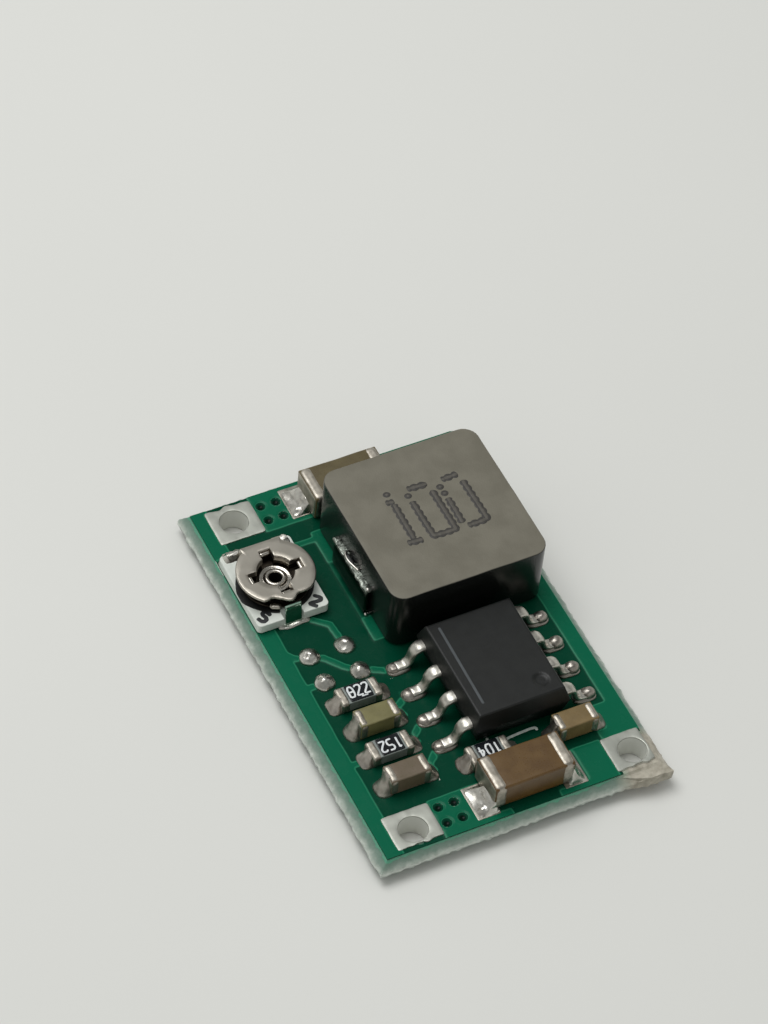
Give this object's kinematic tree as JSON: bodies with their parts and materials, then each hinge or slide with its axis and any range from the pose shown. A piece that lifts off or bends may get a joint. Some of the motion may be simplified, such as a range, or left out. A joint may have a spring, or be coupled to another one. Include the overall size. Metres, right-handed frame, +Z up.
{
  "type": "miniature buck converter module",
  "caption": "Miniature step-down converter board: moulded inductor, regulator chip, small chip parts, turnable trimmer and plated wire holes at the corners.",
  "frame": {"origin": "middle of the underside of the board, on the surface it lies on", "axes": "+Z up through the parts, +Y along the board from the input end to the output end, +X from the minus side to the plus side"},
  "size_m": [0.0116, 0.018, 0.0038],
  "materials": {
    "chip_ceramic": "brown capacitor ceramic",
    "coil_wire": "enamelled copper wire",
    "copper": "copper foil under the mask",
    "glaze": "black glass glaze",
    "laminate": "snapped glass-epoxy laminate, pale green grey",
    "moulded_core": "pressed iron powder, grey-brown top",
    "moulding": "black epoxy moulding",
    "nickel": "nickel silver sheet",
    "resistive_film": "black resistive film",
    "solder": "bright reflowed solder",
    "solder_mask": "green solder mask, satin gloss",
    "tin": "matte tin over copper",
    "white_ceramic": "white alumina"
  },
  "bodies": {
    "board": {"boost_capacitor_body": "chip_ceramic", "boost_capacitor_ends": "tin", "circuit_board": "laminate", "copper_bottom": "copper", "copper_top": "copper", "inductor_body": "moulded_core", "inductor_coil": "coil_wire", "inductor_terminal_left": "tin", "inductor_terminal_right": "tin", "input_capacitor_body": "chip_ceramic", "input_capacitor_ends": "tin", "lower_capacitor_body": "chip_ceramic", "lower_capacitor_ends": "tin", "output_capacitor_body": "chip_ceramic", "output_capacitor_ends": "tin", "plated_vias": "tin", "regulator_body": "moulding", "regulator_lead_1": "tin", "regulator_lead_2": "tin", "regulator_lead_3": "tin", "regulator_lead_4": "tin", "regulator_lead_5": "tin", "regulator_lead_6": "tin", "regulator_lead_7": "tin", "regulator_lead_8": "tin", "resistor_104_ceramic": "white_ceramic", "resistor_104_ends": "tin", "resistor_104_glaze": "glaze", "resistor_152_ceramic": "white_ceramic", "resistor_152_ends": "tin", "resistor_152_glaze": "glaze", "resistor_822_ceramic": "white_ceramic", "resistor_822_ends": "tin", "resistor_822_glaze": "glaze", "solder_domes": "solder", "solder_inductor": "solder", "solder_input_capacitor": "solder", "solder_mask_bottom": "solder_mask", "solder_mask_top": "solder_mask", "solder_output_capacitor": "solder", "solder_regulator": "solder", "solder_small_parts": "solder", "solder_trimmer": "solder", "trimmer_base": "white_ceramic", "trimmer_end_clips": "nickel", "trimmer_track": "resistive_film", "trimmer_wiper_terminal": "nickel", "upper_capacitor_body": "chip_ceramic", "upper_capacitor_ends": "tin", "wire_land_input_minus": "tin", "wire_land_input_plus": "tin", "wire_land_output_minus": "tin", "wire_land_output_plus": "tin"},
    "trimmer_rotor": {"trimmer_rotor": "nickel"}
  },
  "joints": [
    {"name": "trimmer_turn", "type": "hinge", "parent": "board", "child": "trimmer_rotor", "pos_m": [-0.00406, 0.00406, 0.0016], "axis": [0, 0, 1], "range_deg": [-115, 115]}
  ]
}
